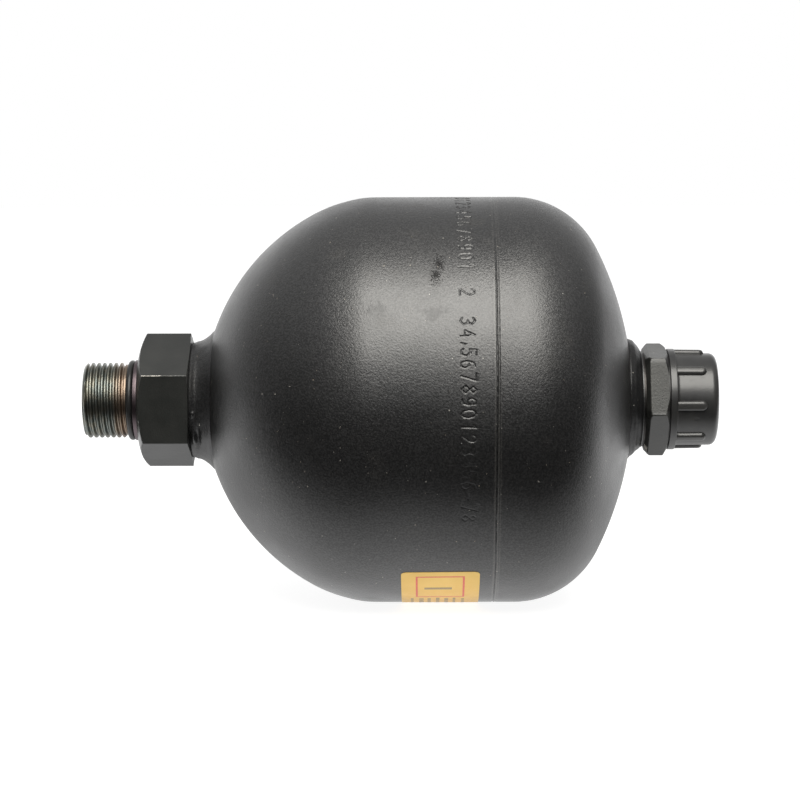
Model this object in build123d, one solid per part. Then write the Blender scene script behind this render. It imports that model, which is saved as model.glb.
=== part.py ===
from build123d import *
import os
from math import atan2, cos, degrees, radians, sin, sqrt, tan

# Bladder accumulator, millimetres. The axis of the vessel is X. The origin is on that axis,
# in the mouth of the fluid port, and +X runs from the fluid port to the gas valve.

# vessel
body_dia = 145.0            # outside diameter of the cylindrical part
shell_wall = 5.5
cylinder_length = 47.1      # between the tangent lines of the two heads
fluid_knuckle_radius = 51.4 # torispherical head on the fluid side
fluid_knuckle_angle = 28.5  # degrees that the knuckle turns before the crown
gas_knuckle_radius = 33.0   # flatter head on the gas side
gas_knuckle_angle = 62.8
seam_from_fluid_head = 39.5 # tangent line of the fluid head to the middle of the girth weld
seam_width = 3.0
seam_groove_depth = 0.35
seam_ridge_width = 0.9

# fluid port, one turned piece: threaded stud, seal groove, collar, hexagon, neck
stud_thread_dia = 27.0      # M27 x 2, the thread itself is plain here
stud_thread_length = 15.5
stud_end_chamfer = 1.0
fluid_bore_dia = 16.0
fluid_bore_depth = 36.0
fluid_passage_dia = 12.0    # narrower passage on into the vessel
seal_groove_depth = 1.6     # below the thread's outside
o_ring_section = 2.4
collar_step = 0.95          # above the thread's outside
collar_length = 1.6
stud_hex_flats = 42.0
stud_hex_length = 19.5
stud_hex_turn = 33.5        # corner of the hexagon, degrees below -Y
stud_hex_face_width = 1.45  # flat ring round the collar, where the front chamfer starts
stud_hex_front_angle = 20.0
stud_hex_back_under = 0.8   # and the back one this far inside them
stud_hex_back_angle = 24.0
neck_dia = 36.0
neck_standoff = 3.2         # back of the hexagon to the pole of the head
fluid_weld_top = 2.2        # width of the weld at the hexagon
fluid_weld_foot = 7.1       # and on the head
fluid_weld_hollow = 0.45    # how far the face of the weld is dished

# gas port
boss_wall = 6.2             # around the shank of the valve
boss_standoff = 3.2         # pole of the head to the face of the boss
boss_depth = 8.0            # length of the boss inside the pole
gas_weld_foot = 4.3         # width of the weld on the head
gas_weld_leg = 4.1          # length of the weld along the boss
gas_weld_crown = 0.4        # how far the face of the weld bulges
valve_shank_dia = 22.0
valve_seal_thickness = 0.7
valve_seal_step = 0.2       # the seal lies this far inside the boss
valve_hex_flats = 36.0
valve_hex_length = 8.0
valve_hex_turn = 10.2
valve_hex_over = 0.6        # its chamfers start this far outside the flats
valve_hex_angle = 31.0
valve_thread_dia = 28.0     # M28 x 1.5 for the charging set, under the cap
valve_thread_length = 11.2
valve_relief_width = 1.6
valve_relief_depth = 1.1
gas_passage_dia = 3.0
screw_dia = 8.0
screw_length = 10.0
screw_head_dia = 13.0
screw_head_height = 8.0
screw_socket_flats = 6.0
screw_socket_depth = 4.0
screw_seal_section = 1.7

# protective cap of the gas valve
gasket_thickness = 0.6
gasket_width = 2.7
cap_wall = 2.42             # at the flange
cap_flange_step = 1.6       # flange above the wall
cap_flange_length = 3.0
cap_taper = 0.2             # how much the radius falls towards the end
cap_length = 17.3
cap_end_wall = 3.2
cap_edge_radius = 2.5
cap_rib_count = 8
cap_rib_height = 1.35
cap_rib_width = 3.6
cap_rib_length = 9.8
cap_rib_turn = 2.4          # middle of a rib, degrees below -Y

# bladder
bladder_wall = 2.5
bead_length = 7.0
bead_height = 5.5
clamp_lip = 2.5             # thickness of the lip over the bead
clamp_wall = 3.0
clamp_shoulder = 4.0        # shoulder of the clamp ring to the middle of the seam
clamp_tail = 6.0            # middle of the seam to the end of the clamp ring
button_thickness = 2.5
button_overlap = 6.0        # how far the button covers the face around the passage
button_stem_dia = 8.0
button_head_dia = 14.0
button_head_thickness = 2.0
bladder_crown = 3.0         # thickness of the flat middle that carries the button

# label on the cylindrical part
label_width = 27.0          # along the axis
label_arc = 60.0            # around the body
label_thickness = 0.15
label_corner = 1.7
label_from_head = 7.2       # tangent line of the fluid head to the near edge
label_start = 48.4          # upper edge, degrees below -Y

# clearances
press_gap = 0.02            # a fixed piece in its hole
thread_gap = 0.08           # between plain cylinders that stand for a mating thread
soft_gap = 0.5              # bladder to the wall of the vessel
button_gap = 0.3            # button stem in the bladder
o_ring_gap = 0.05           # each side of an O-ring in its groove

# stations along the axis
collar_x = stud_thread_length + o_ring_section + 2 * o_ring_gap
stud_hex_x = collar_x + collar_length
stud_hex_end = stud_hex_x + stud_hex_length
fluid_pole = stud_hex_end + neck_standoff
body_radius = body_dia / 2
seal_groove_dia = stud_thread_dia - 2 * seal_groove_depth
boss_dia = valve_shank_dia + 2 * boss_wall
cap_bore_dia = valve_thread_dia + 2 * thread_gap
cap_dia = cap_bore_dia + 2 * cap_wall


def crown_radius_of(knuckle_radius, knuckle_angle):
    """Radius of the crown that runs on from the knuckle of a head."""
    return knuckle_radius + (body_radius - knuckle_radius) / cos(radians(knuckle_angle))


def crown_offset(knuckle_radius, knuckle_angle):
    """Axial distance from the tangent line of a head to the centre of its crown."""
    return (body_radius - knuckle_radius) * tan(radians(knuckle_angle))


fluid_crown_radius = crown_radius_of(fluid_knuckle_radius, fluid_knuckle_angle)
gas_crown_radius = crown_radius_of(gas_knuckle_radius, gas_knuckle_angle)
fluid_offset = crown_offset(fluid_knuckle_radius, fluid_knuckle_angle)
gas_offset = crown_offset(gas_knuckle_radius, gas_knuckle_angle)
fluid_centre = fluid_pole + fluid_crown_radius
fluid_tangent = fluid_centre - fluid_offset
gas_tangent = fluid_tangent + cylinder_length
gas_centre = gas_tangent - gas_offset
gas_pole = gas_centre + gas_crown_radius
seam_x = fluid_tangent + seam_from_fluid_head
boss_face = gas_pole + boss_standoff
valve_hex_x = boss_face + valve_seal_thickness
valve_hex_end = valve_hex_x + valve_hex_length
cap_x = valve_hex_end + gasket_thickness


def fluid_crown_x(radius, inset=0.0):
    """Where the crown on the fluid side, moved inwards by inset, has this radius."""
    return fluid_centre - sqrt((fluid_crown_radius - inset) ** 2 - radius**2)


def gas_crown_x(radius, inset=0.0):
    return gas_centre + sqrt((gas_crown_radius - inset) ** 2 - radius**2)


def revolved(*edges):
    """A solid of revolution about X from the edges of its half section in the XY plane."""
    return revolve(make_face(Wire(edges)), Axis.X)


def turned(*points):
    """A solid of revolution about X from (x, radius) points."""
    return revolve(make_face(Polyline(*points, close=True)), Axis.X)


def arc_about(centre_x, centre_y, radius, start, end):
    """An arc in the XY plane about a centre, from one point to another on the short side."""
    a = atan2(start[1] - centre_y, start[0] - centre_x)
    b = atan2(end[1] - centre_y, end[0] - centre_x)
    middle = (centre_x + radius * cos((a + b) / 2), centre_y + radius * sin((a + b) / 2))
    return ThreePointArc(start, middle, end)


def head_arcs(side, inset, end_radius):
    """The knuckle and crown of one head, moved inwards by inset, from the tangent line to end_radius.

    side is -1 for the fluid side and 1 for the gas side. It gives the edges and the last point.
    """
    crown = fluid_crown_radius if side < 0 else gas_crown_radius
    knuckle = fluid_knuckle_radius if side < 0 else gas_knuckle_radius
    tangent = fluid_tangent if side < 0 else gas_tangent
    centre = fluid_centre if side < 0 else gas_centre
    knuckle_y = body_radius - knuckle
    slope = atan2(knuckle_y, side * (tangent - centre))
    r_knuckle = knuckle - inset
    start = (tangent, body_radius - inset)
    join = (tangent + side * r_knuckle * cos(slope), knuckle_y + r_knuckle * sin(slope))
    end = (centre + side * sqrt((crown - inset) ** 2 - end_radius**2), end_radius)
    knuckle_arc = arc_about(tangent, knuckle_y, r_knuckle, start, join)
    crown_arc = arc_about(centre, 0, crown - inset, join, end)
    return [knuckle_arc, crown_arc], start, end


def half_shell(side, seam_face, hole_dia):
    """One half of the vessel, from the face at the seam to the hole for its port."""
    hole_radius = hole_dia / 2 + press_gap
    outer, outer_start, outer_end = head_arcs(side, 0, hole_radius)
    inner, inner_start, inner_end = head_arcs(side, shell_wall, hole_radius)
    return revolved(
        Line((seam_face, body_radius), outer_start),
        *outer,
        Line(outer_end, inner_end),
        *inner,
        Line(inner_start, (seam_face, body_radius - shell_wall)),
        Line((seam_face, body_radius - shell_wall), (seam_face, body_radius)),
    )


def hexagon(x, length, flats, turn):
    """A hexagonal prism about X, with one corner at turn degrees below -Y."""
    face = RegularPolygon(flats / 2, 6, major_radius=False)
    corner = face.vertices().sort_by_distance((2 * flats, 0, 0))[0]
    first = degrees(atan2(corner.Y, corner.X))
    return extrude(Plane.YZ.offset(x) * Rot(0, 0, 180 + turn - first) * face, length)


def chamfered_hexagon(x, length, flats, turn, front_flat, front_angle, back_flat, back_angle):
    """A hexagon with the conical chamfers of a turned bar."""
    corner = flats / sqrt(3) + 1
    envelope = turned(
        (x, 0),
        (x, front_flat / 2),
        (x + (corner - front_flat / 2) * tan(radians(front_angle)), corner),
        (x + length - (corner - back_flat / 2) * tan(radians(back_angle)), corner),
        (x + length, back_flat / 2),
        (x + length, 0),
    )
    return hexagon(x, length, flats, turn) & envelope


def ring(x, inner_dia, outer_dia, length):
    """A plain ring about X."""
    return turned(
        (x, inner_dia / 2), (x, outer_dia / 2), (x + length, outer_dia / 2), (x + length, inner_dia / 2)
    )


def rod(x, dia, length):
    """A plain cylinder about X."""
    return turned((x, 0), (x, dia / 2), (x + length, dia / 2), (x + length, 0))


def o_ring(x, inner_dia, section):
    """A ring of round section about X, in a groove whose floor has inner_dia."""
    centre_y = inner_dia / 2 + o_ring_gap + section / 2
    return revolve(Pos(x, centre_y) * Circle(section / 2), Axis.X)


# pieces of the vessel


def make_fluid_side_shell():
    return half_shell(-1, seam_x - seam_width / 2, neck_dia)


def make_gas_side_shell():
    return half_shell(1, seam_x + seam_width / 2, boss_dia)


def make_girth_weld():
    """Butt weld through the wall, with a low ridge between the two grooves at its edges."""
    low = body_radius - seam_groove_depth
    half = seam_width / 2
    ridge = seam_ridge_width / 2
    return turned(
        (seam_x - half, body_radius - shell_wall),
        (seam_x - half, body_radius),
        (seam_x - ridge, low),
        (seam_x, body_radius),
        (seam_x + ridge, low),
        (seam_x + half, body_radius),
        (seam_x + half, body_radius - shell_wall),
    )


# pieces of the fluid port

stud_inner_x = fluid_crown_x(neck_dia / 2 + press_gap, shell_wall)


def make_fluid_port_stud():
    thread_radius = stud_thread_dia / 2
    outline = turned(
        (0, 0),
        (0, thread_radius - stud_end_chamfer),
        (stud_end_chamfer, thread_radius),
        (stud_thread_length, thread_radius),
        (stud_thread_length, seal_groove_dia / 2),
        (collar_x, seal_groove_dia / 2),
        (collar_x, thread_radius + collar_step),
        (stud_hex_x, thread_radius + collar_step),
        (stud_hex_x, 0),
    )
    grip = chamfered_hexagon(
        stud_hex_x,
        stud_hex_length,
        stud_hex_flats,
        stud_hex_turn,
        2 * (thread_radius + collar_step + stud_hex_face_width),
        stud_hex_front_angle,
        stud_hex_flats - 2 * stud_hex_back_under,
        stud_hex_back_angle,
    )
    neck = rod(stud_hex_end, neck_dia, stud_inner_x - stud_hex_end)
    bore = rod(0, fluid_bore_dia, fluid_bore_depth)
    passage = rod(0, fluid_passage_dia, stud_inner_x)
    return outline + grip + neck - bore - passage


def make_fluid_port_o_ring():
    return o_ring(stud_thread_length + o_ring_gap + o_ring_section / 2, seal_groove_dia, o_ring_section)


def make_fluid_port_weld():
    """Fillet weld between the back of the hexagon and the head, with a dished face."""
    neck = neck_dia / 2
    top = (stud_hex_end, neck + fluid_weld_top)
    toe = (fluid_crown_x(neck + fluid_weld_foot), neck + fluid_weld_foot)
    root = (fluid_crown_x(neck), neck)
    return revolved(
        Line((stud_hex_end, neck), top),
        SagittaArc(top, toe, -fluid_weld_hollow),
        arc_about(fluid_centre, 0, fluid_crown_radius, toe, root),
        Line(root, (stud_hex_end, neck)),
    )


# pieces of the gas port


def make_gas_port_boss():
    start = gas_pole - boss_depth
    return ring(start, valve_shank_dia + 2 * press_gap, boss_dia, boss_face - start)


def make_gas_port_weld():
    boss = boss_dia / 2
    toe = (gas_crown_x(boss + gas_weld_foot), boss + gas_weld_foot)
    root = (gas_crown_x(boss), boss)
    top = (root[0] + gas_weld_leg, boss)
    return revolved(
        Line(root, top),
        SagittaArc(top, toe, gas_weld_crown),
        arc_about(gas_centre, 0, gas_crown_radius, toe, root),
    )


def make_gas_valve_seal():
    seal_dia = boss_dia - 2 * valve_seal_step
    return ring(boss_face, valve_shank_dia + 2 * press_gap, seal_dia, valve_seal_thickness)


valve_end = valve_hex_end + valve_thread_length
head_seat = valve_end - screw_head_height
screw_end = head_seat - screw_length
screw_recess = screw_seal_section + 2 * o_ring_gap


def make_gas_valve_body():
    """Shank, hexagon and charging thread in one piece, drilled for the gas and the screw."""
    shank_start = gas_pole - boss_depth
    thread = valve_thread_dia / 2
    relief = thread - valve_relief_depth
    shank = rod(shank_start, valve_shank_dia, valve_hex_x - shank_start)
    grip = chamfered_hexagon(
        valve_hex_x,
        valve_hex_length,
        valve_hex_flats,
        valve_hex_turn,
        valve_hex_flats + 2 * valve_hex_over,
        valve_hex_angle,
        valve_hex_flats + 2 * valve_hex_over,
        valve_hex_angle,
    )
    spigot = turned(
        (valve_hex_end, 0),
        (valve_hex_end, relief),
        (valve_hex_end + valve_relief_width, relief),
        (valve_hex_end + valve_relief_width, thread),
        (valve_end - valve_relief_depth, thread),
        (valve_end, relief),
        (valve_end, 0),
    )
    head_hole = rod(head_seat, screw_head_dia + 4 * thread_gap, screw_head_height)
    seal_recess = rod(head_seat - screw_recess, screw_dia + 2 * screw_recess, screw_recess)
    screw_hole = rod(screw_end, screw_dia + 2 * press_gap, screw_length)
    passage = rod(shank_start, gas_passage_dia, screw_end - shank_start)
    return shank + grip + spigot - head_hole - seal_recess - screw_hole - passage


def make_charging_screw():
    """Socket head screw that closes the gas passage."""
    shank = rod(screw_end, screw_dia, screw_length)
    head = rod(head_seat, screw_head_dia, screw_head_height)
    socket = hexagon(valve_end - screw_socket_depth, screw_socket_depth, screw_socket_flats, valve_hex_turn)
    return shank + head - socket


def make_charging_screw_seal():
    return o_ring(head_seat - screw_recess / 2, screw_dia, screw_seal_section)


# protective cap


def make_cap_gasket():
    return ring(valve_hex_end, cap_bore_dia, cap_bore_dia + 2 * gasket_width, gasket_thickness)


def make_protective_cap():
    """Cup with a round flange and grip ribs, with a plain bore for the charging thread."""
    flange_end = cap_x + cap_flange_length
    cap_end = cap_x + cap_length
    rib_end = flange_end + cap_rib_length
    wall = cap_dia / 2
    wall_end = wall - cap_taper
    flange = wall + cap_flange_step
    rib_top = wall + cap_rib_height
    edge = cap_edge_radius
    cup = revolved(
        Line((cap_x, 0), (cap_x, flange)),
        Line((cap_x, flange), (flange_end, flange)),
        Line((flange_end, flange), (flange_end, wall)),
        Line((flange_end, wall), (cap_end - edge, wall_end)),
        JernArc((cap_end - edge, wall_end), (1, 0), edge, -90),
        Line((cap_end, wall_end - edge), (cap_end, 0)),
        Line((cap_end, 0), (cap_x, 0)),
    )
    envelope = revolved(
        Line((flange_end, 0), (flange_end, rib_top)),
        Line((flange_end, rib_top), (rib_end - cap_rib_height, rib_top)),
        JernArc((rib_end - cap_rib_height, rib_top), (1, 0), cap_rib_height, -90),
        Line((rib_end, wall), (rib_end, 0)),
        Line((rib_end, 0), (flange_end, 0)),
    )
    for n in range(cap_rib_count):
        bar = Box(cap_rib_length, cap_rib_width, rib_top, align=(Align.MIN, Align.CENTER, Align.MIN))
        angle = 90 + cap_rib_turn + 360 * n / cap_rib_count
        cup += (Rot(angle, 0, 0) * Pos(flange_end, 0, 0) * bar) & envelope
    bore = rod(cap_x, cap_bore_dia, cap_length - cap_end_wall)
    return cup - bore


# bladder and what holds it

wall_radius = body_radius - shell_wall
shoulder_x = seam_x - clamp_shoulder
bead_x = shoulder_x - bead_length
bead_inner = wall_radius - bead_height
button_top = stud_inner_x + button_thickness
crown_top = button_top + bladder_crown


def make_bladder_clamp_ring():
    """Ring behind the seam, with a lip that holds the bead of the bladder against the wall."""
    outer = wall_radius - press_gap
    lip_inner = bead_inner - clamp_lip
    flange_end = shoulder_x + clamp_wall
    return turned(
        (bead_x, lip_inner),
        (bead_x, bead_inner),
        (shoulder_x, bead_inner),
        (shoulder_x, outer),
        (seam_x + clamp_tail, outer),
        (seam_x + clamp_tail, outer - clamp_wall),
        (flange_end, outer - clamp_wall),
        (flange_end, lip_inner),
    )


def make_bladder():
    """Cup of rubber along the wall of the fluid side, flat in the middle, with a bead at its rim."""
    outer_inset = shell_wall + soft_gap
    inner_inset = outer_inset + bladder_wall
    outer_flat = sqrt((fluid_crown_radius - outer_inset) ** 2 - (fluid_centre - button_top) ** 2)
    inner_flat = sqrt((fluid_crown_radius - inner_inset) ** 2 - (fluid_centre - crown_top) ** 2)
    outer, outer_start, outer_end = head_arcs(-1, outer_inset, outer_flat)
    inner, inner_start, inner_end = head_arcs(-1, inner_inset, inner_flat)
    hole = button_stem_dia / 2 + button_gap
    shell = revolved(
        Line((bead_x, outer_start[1]), outer_start),
        *outer,
        Line(outer_end, (button_top, hole)),
        Line((button_top, hole), (crown_top, hole)),
        Line((crown_top, hole), inner_end),
        *inner,
        Line(inner_start, (bead_x, inner_start[1])),
        Line((bead_x, inner_start[1]), (bead_x, outer_start[1])),
    )
    bead = ring(bead_x, 2 * bead_inner, 2 * outer_start[1], bead_length)
    return shell + bead


def make_bladder_button():
    """Disc that closes the fluid passage, with a stem and head through the bladder."""
    disc = rod(stud_inner_x, fluid_passage_dia + 2 * button_overlap, button_thickness)
    stem = rod(button_top, button_stem_dia, bladder_crown)
    head = rod(crown_top, button_head_dia, button_head_thickness)
    return disc + stem + head


# label


def make_label():
    """Thin sheet wrapped round the cylinder, with rounded corners."""
    x = fluid_tangent + label_from_head
    section = [(x, body_radius), (x, body_radius + label_thickness)]
    section += [(x + label_width, r) for _, r in reversed(section)]
    sheet = revolve(make_face(Polyline(*section, close=True)), Axis.X, degrees(label_arc / body_radius))
    corners = [e for e in sheet.edges() if e.geom_type == GeomType.LINE and e.length < 2 * label_thickness]
    return Rot(180 + label_start, 0, 0) * fillet(corners, label_corner)


pieces = {
    "fluid_side_shell": make_fluid_side_shell,
    "gas_side_shell": make_gas_side_shell,
    "girth_weld": make_girth_weld,
    "fluid_port_stud": make_fluid_port_stud,
    "fluid_port_o_ring": make_fluid_port_o_ring,
    "fluid_port_weld": make_fluid_port_weld,
    "gas_port_boss": make_gas_port_boss,
    "gas_port_weld": make_gas_port_weld,
    "gas_valve_seal": make_gas_valve_seal,
    "gas_valve_body": make_gas_valve_body,
    "charging_screw": make_charging_screw,
    "charging_screw_seal": make_charging_screw_seal,
    "cap_gasket": make_cap_gasket,
    "protective_cap": make_protective_cap,
    "bladder_clamp_ring": make_bladder_clamp_ring,
    "bladder": make_bladder,
    "bladder_button": make_bladder_button,
    "label": make_label,
}

os.makedirs("parts", exist_ok=True)
for name, make in pieces.items():
    export_step(make(), f"parts/{name}.step")
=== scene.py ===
from math import atan2, cos, pi, radians, sin, sqrt, tan

import bpy
import numpy as np
from mathutils import Matrix, Vector


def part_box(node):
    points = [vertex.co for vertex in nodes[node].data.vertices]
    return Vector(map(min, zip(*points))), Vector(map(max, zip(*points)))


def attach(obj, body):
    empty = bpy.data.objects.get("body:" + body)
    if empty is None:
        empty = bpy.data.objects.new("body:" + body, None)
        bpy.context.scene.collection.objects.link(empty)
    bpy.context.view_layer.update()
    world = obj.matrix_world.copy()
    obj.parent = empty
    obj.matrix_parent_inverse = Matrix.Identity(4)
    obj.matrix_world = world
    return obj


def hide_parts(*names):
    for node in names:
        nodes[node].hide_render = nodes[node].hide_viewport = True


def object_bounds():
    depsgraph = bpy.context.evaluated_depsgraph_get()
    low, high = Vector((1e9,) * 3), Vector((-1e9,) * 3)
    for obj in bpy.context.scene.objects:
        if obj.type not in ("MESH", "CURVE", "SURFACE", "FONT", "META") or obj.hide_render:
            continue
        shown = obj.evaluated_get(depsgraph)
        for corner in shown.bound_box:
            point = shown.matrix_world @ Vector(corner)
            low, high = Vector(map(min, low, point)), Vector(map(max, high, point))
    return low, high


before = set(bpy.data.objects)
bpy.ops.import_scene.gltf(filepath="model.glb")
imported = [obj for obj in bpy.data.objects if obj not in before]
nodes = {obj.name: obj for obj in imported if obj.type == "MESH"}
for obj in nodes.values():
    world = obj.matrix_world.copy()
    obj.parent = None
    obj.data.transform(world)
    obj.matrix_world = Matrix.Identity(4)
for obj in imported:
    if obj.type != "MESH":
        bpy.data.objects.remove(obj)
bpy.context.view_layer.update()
mm = 0.001
print("frame loaded:", len(nodes), "nodes")

# mesh helpers


def smooth(t):
    t = np.clip(t, 0, 1)
    return t * t * (3 - 2 * t)


# smaller of two lengths, rounded over width where they cross
def softMin(a, b, width):
    h = np.clip(0.5 + 0.5 * (b - a) / width, 0, 1)
    return b * (1 - h) + a * h - width * h * (1 - h)


# angle about X of a direction that many degrees below -Y, as seen from the front
def below(turn):
    return pi + radians(turn)


# angles as seen from such a direction, from -pi to pi
def turnFrom(angles, turn):
    return (angles - below(turn) + pi) % (2 * pi) - pi


# evenly spread directions, the first one at turn
def spreadRound(turn, count):
    return [below(turn + 360 / count * k) % (2 * pi) for k in range(count)]


# even angles round X, with extra ones close to the given spots
def angleSteps(count, spots=(), reach=0.0, extra=0):
    steps = list(np.arange(count) * 2 * pi / count)
    for spot in spots:
        steps += list((spot + np.linspace(-reach, reach, extra)) % (2 * pi))
    steps = np.unique(np.round(steps, 6))
    keep = np.append(np.diff(steps) > 1e-4, True)
    return steps[keep]


# (x, r) points, each with a corner radius as a third number, as a polyline with arcs
def roundedProfile(points, steps=5):
    out = []
    n = len(points)
    for i, (x, r, corner) in enumerate(points):
        here = np.array((x, r))
        before = np.array(points[i - 1][:2]) - here
        after = np.array(points[(i + 1) % n][:2]) - here
        if corner <= 0:
            out.append((x, r))
            continue
        la, lb = np.linalg.norm(before), np.linalg.norm(after)
        ua, ub = before / la, after / lb
        half = np.arccos(np.clip(ua @ ub, -1, 1)) / 2
        cut = min(corner / tan(half), 0.45 * la, 0.45 * lb)
        a, b = here + ua * cut, here + ub * cut
        for t in np.linspace(0, 1, steps):
            out.append(tuple((1 - t) ** 2 * a + 2 * t * (1 - t) * here + t * t * b))
    return out


def meshObject(name, verts, faces, sharpAngle=35):
    mesh = bpy.data.meshes.new(name)
    mesh.from_pydata([tuple(v) for v in verts], [], [tuple(f) for f in faces])
    mesh.validate()
    mesh.shade_smooth()
    mesh.set_sharp_from_angle(angle=radians(sharpAngle))
    piece = bpy.data.objects.new(name, mesh)
    bpy.context.scene.collection.objects.link(piece)
    return piece


# closed surface round X: each station is (x, r), where x and r may vary with the angle
def turnedMesh(name, stations, angles, sharpAngle=35):
    count = len(angles)
    rings = []
    for x, r in stations:
        r = np.broadcast_to(r, count)
        x = np.broadcast_to(x, count)
        rings.append(np.stack([x, r * np.cos(angles), r * np.sin(angles)], 1))
    verts = np.concatenate(rings)
    loops = len(stations)
    i, j = np.meshgrid(np.arange(loops), np.arange(count), indexing="ij")
    a = i * count + j
    b = i * count + (j + 1) % count
    c = ((i + 1) % loops) * count + (j + 1) % count
    d = ((i + 1) % loops) * count + j
    faces = np.stack([a, b, c, d], -1).reshape(-1, 4)
    return meshObject(name, verts, faces, sharpAngle)


def setAttribute(piece, name, values):
    layer = piece.data.attributes.new(name, "FLOAT", "POINT")
    layer.data.foreach_set("value", np.asarray(values, np.float32).ravel())


def vertexArray(piece):
    co = np.zeros(len(piece.data.vertices) * 3)
    piece.data.vertices.foreach_get("co", co)
    return co.reshape(-1, 3)


def dress(piece, material, body, slot, *replaced):
    piece.data.materials.clear()
    piece.data.materials.append(material)
    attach(piece, body)
    if replaced:
        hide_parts(*replaced)
    return piece


# a second material on the faces where second is true
def addMaterial(piece, material, second):
    piece.data.materials.append(material)
    piece.data.polygons.foreach_set("material_index", np.asarray(second, np.int32))


# a CAD node keeps its shape and gets a finish
def cover(node, material):
    piece = nodes[node]
    piece.data.materials.clear()
    piece.data.materials.append(material)


# shader groups


# every group takes a place on the surface; its other inputs are numbers, or vectors as tuples
def newGroup(name, outputs, **inputs):
    tree = bpy.data.node_groups.new(name, "ShaderNodeTree")
    tree.interface.new_socket("Vector", in_out="INPUT", socket_type="NodeSocketVector")
    for label, value in inputs.items():
        kind = "NodeSocketVector" if isinstance(value, tuple) else "NodeSocketFloat"
        tree.interface.new_socket(label, in_out="INPUT", socket_type=kind).default_value = value
    for label in outputs:
        tree.interface.new_socket(label, in_out="OUTPUT", socket_type="NodeSocketFloat")
    return tree, tree.nodes.new("NodeGroupInput"), tree.nodes.new("NodeGroupOutput")


def plug(tree, source, target):
    tree.links.new(source, target)


# a number or vector is set on the socket, anything else is linked to it
def feed(tree, socket, value):
    if isinstance(value, (int, float, tuple)):
        socket.default_value = value
    else:
        plug(tree, value, socket)


def mathNode(tree, operation, *values):
    node = tree.nodes.new("ShaderNodeMath")
    node.operation = operation
    for socket, value in zip(node.inputs, values):
        feed(tree, socket, value)
    return node.outputs[0]


# value from low to high becomes toLow to toHigh, smoothly
def ramp(tree, value, low, high, toLow=0.0, toHigh=1.0):
    node = tree.nodes.new("ShaderNodeMapRange")
    node.interpolation_type = "SMOOTHSTEP"
    labels = ("Value", "From Min", "From Max", "To Min", "To Max")
    for label, number in zip(labels, (value, low, high, toLow, toHigh)):
        feed(tree, node.inputs[label], number)
    return node.outputs["Result"]


def noiseNode(tree, vector, scale, detail=2.0, rough=0.5):
    node = tree.nodes.new("ShaderNodeTexNoise")
    labels = ("Vector", "Scale", "Detail", "Roughness")
    for label, value in zip(labels, (vector, scale, detail, rough)):
        feed(tree, node.inputs[label], value)
    return node.outputs["Fac"]


# fine skin of paint, plastic or rolled steel: a height, and a speckle that follows it
def makeGrainGroup():
    tree, start, end = newGroup("fineGrain", ("Height", "Speckle"), Scale=1500.0, Coarse=0.4)
    fine = noiseNode(tree, start.outputs["Vector"], start.outputs["Scale"], 2.0, 0.6)
    wideScale = mathNode(tree, "MULTIPLY", start.outputs["Scale"], 0.22)
    wide = noiseNode(tree, start.outputs["Vector"], wideScale, 1.0)
    plug(tree, mathNode(tree, "MULTIPLY_ADD", wide, start.outputs["Coarse"], fine), end.inputs["Height"])
    plug(tree, ramp(tree, fine, 0.35, 0.68), end.inputs["Speckle"])
    return tree


# dust: few small round specks, with random ones left out
def makeSpeckGroup():
    tree, start, end = newGroup("dustSpecks", ("Mask", "Tone"), Scale=150.0, Size=0.1, Share=0.3)
    cell = tree.nodes.new("ShaderNodeTexVoronoi")
    cell.feature = "F1"
    plug(tree, start.outputs["Vector"], cell.inputs["Vector"])
    plug(tree, start.outputs["Scale"], cell.inputs["Scale"])
    parts = tree.nodes.new("ShaderNodeSeparateColor")
    plug(tree, cell.outputs["Color"], parts.inputs["Color"])
    chosen = mathNode(tree, "LESS_THAN", parts.outputs["Red"], start.outputs["Share"])
    vary = mathNode(tree, "ADD", parts.outputs["Green"], 0.35)
    size = mathNode(tree, "MULTIPLY", start.outputs["Size"], vary)
    spot = mathNode(tree, "LESS_THAN", cell.outputs["Distance"], size)
    plug(tree, mathNode(tree, "MULTIPLY", spot, chosen), end.inputs["Mask"])
    plug(tree, parts.outputs["Blue"], end.inputs["Tone"])
    return tree


# slow change over a surface, from handling and uneven spraying
def makeBlotchGroup():
    tree, start, end = newGroup("slowBlotches", ("Soft", "Patch"), Scale=40.0)
    soft = noiseNode(tree, start.outputs["Vector"], start.outputs["Scale"], 3.0, 0.55)
    patchScale = mathNode(tree, "MULTIPLY", start.outputs["Scale"], 1.9)
    patch = noiseNode(tree, start.outputs["Vector"], patchScale, 4.0, 0.6)
    plug(tree, ramp(tree, soft, 0.3, 0.7), end.inputs["Soft"])
    plug(tree, ramp(tree, patch, 0.58, 0.72), end.inputs["Patch"])
    return tree


# a worn spot round one place: 1 in its middle, ragged at its edge
def makeSpotGroup():
    inputs = dict(Place=(0, 0, 0), Reach=(0.003, 0.003, 0.003), Ragged=0.5, Scale=900.0)
    tree, start, end = newGroup("wornSpot", ("Mask",), **inputs)
    away = start.outputs["Vector"]
    for operation, other in (("SUBTRACT", "Place"), ("DIVIDE", "Reach"), ("LENGTH", None)):
        step = tree.nodes.new("ShaderNodeVectorMath")
        step.operation = operation
        plug(tree, away, step.inputs[0])
        if other:
            plug(tree, start.outputs[other], step.inputs[1])
        away = step.outputs["Value" if operation == "LENGTH" else "Vector"]
    fine = noiseNode(tree, start.outputs["Vector"], start.outputs["Scale"], 2.0, 0.6)
    ragged = mathNode(tree, "MULTIPLY", mathNode(tree, "SUBTRACT", fine, 0.5), start.outputs["Ragged"])
    edge = mathNode(tree, "MULTIPLY_ADD", ragged, 4.0, away)
    plug(tree, ramp(tree, edge, 0.55, 1.1, 1.0, 0.0), end.inputs["Mask"])
    return tree


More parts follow.
